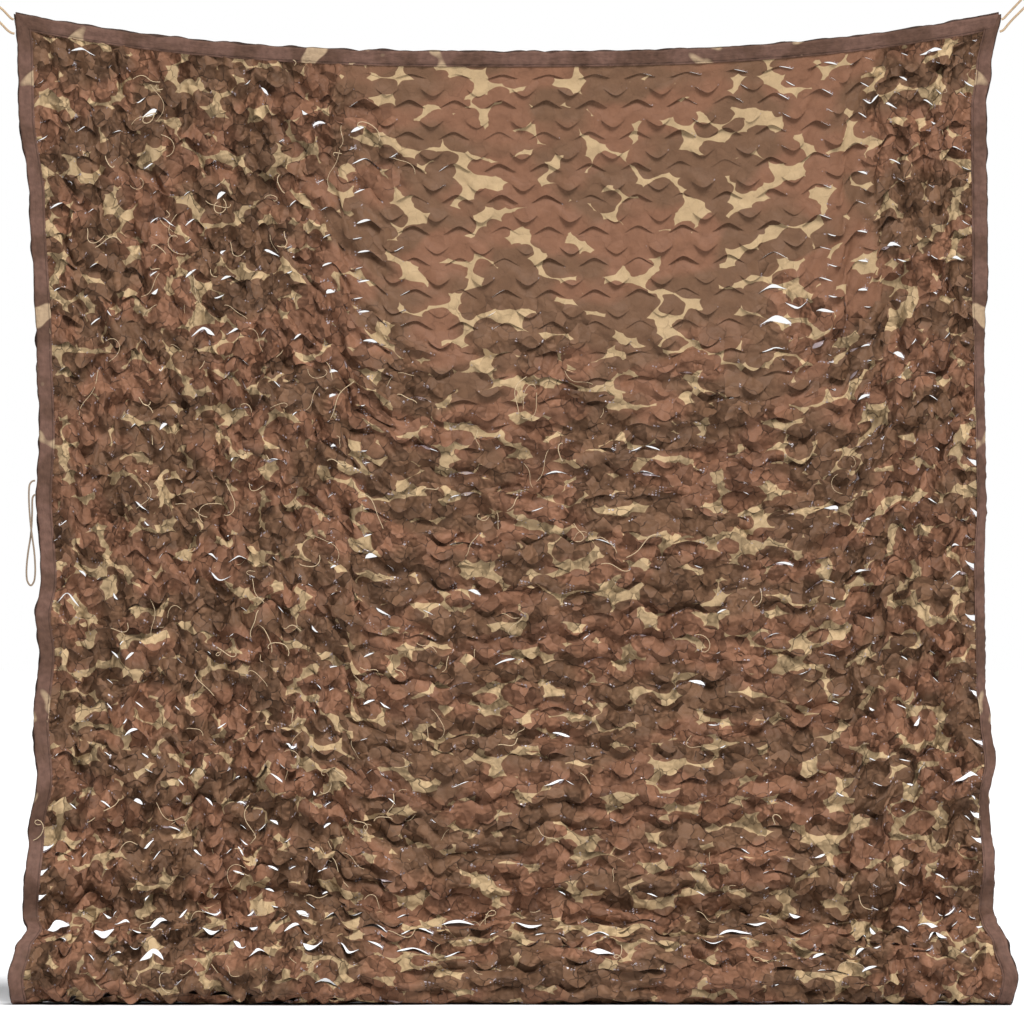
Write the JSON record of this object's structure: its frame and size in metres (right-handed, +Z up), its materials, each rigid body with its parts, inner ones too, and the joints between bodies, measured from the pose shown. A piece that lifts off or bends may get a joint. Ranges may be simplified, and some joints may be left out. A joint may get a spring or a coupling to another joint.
{
  "type": "camouflage net",
  "caption": "Slit camouflage cloth net with bound edges, hung by rope loops at its two top corners, its foot pooled on the floor.",
  "frame": {"origin": "middle of the net's top edge, where that edge hangs lowest", "axes": "+Z up, +X along the width to the viewer's right, -Y out of the front of the net"},
  "size_m": [2.1953, 0.2478, 2.0787],
  "materials": {
    "net_cloth": "matte woven polyester, printed in brown, red-brown and tan",
    "binding_cloth": "matte woven polyester, folded and stitched",
    "rope": "matte laid rope"
  },
  "bodies": {
    "root": {"net_panel": "net_cloth", "binding_top": "binding_cloth", "binding_left": "binding_cloth", "binding_right": "binding_cloth", "binding_foot": "binding_cloth", "corner_cord_left": "rope", "corner_cord_right": "rope", "side_cord": "rope"}
  },
  "joints": []
}
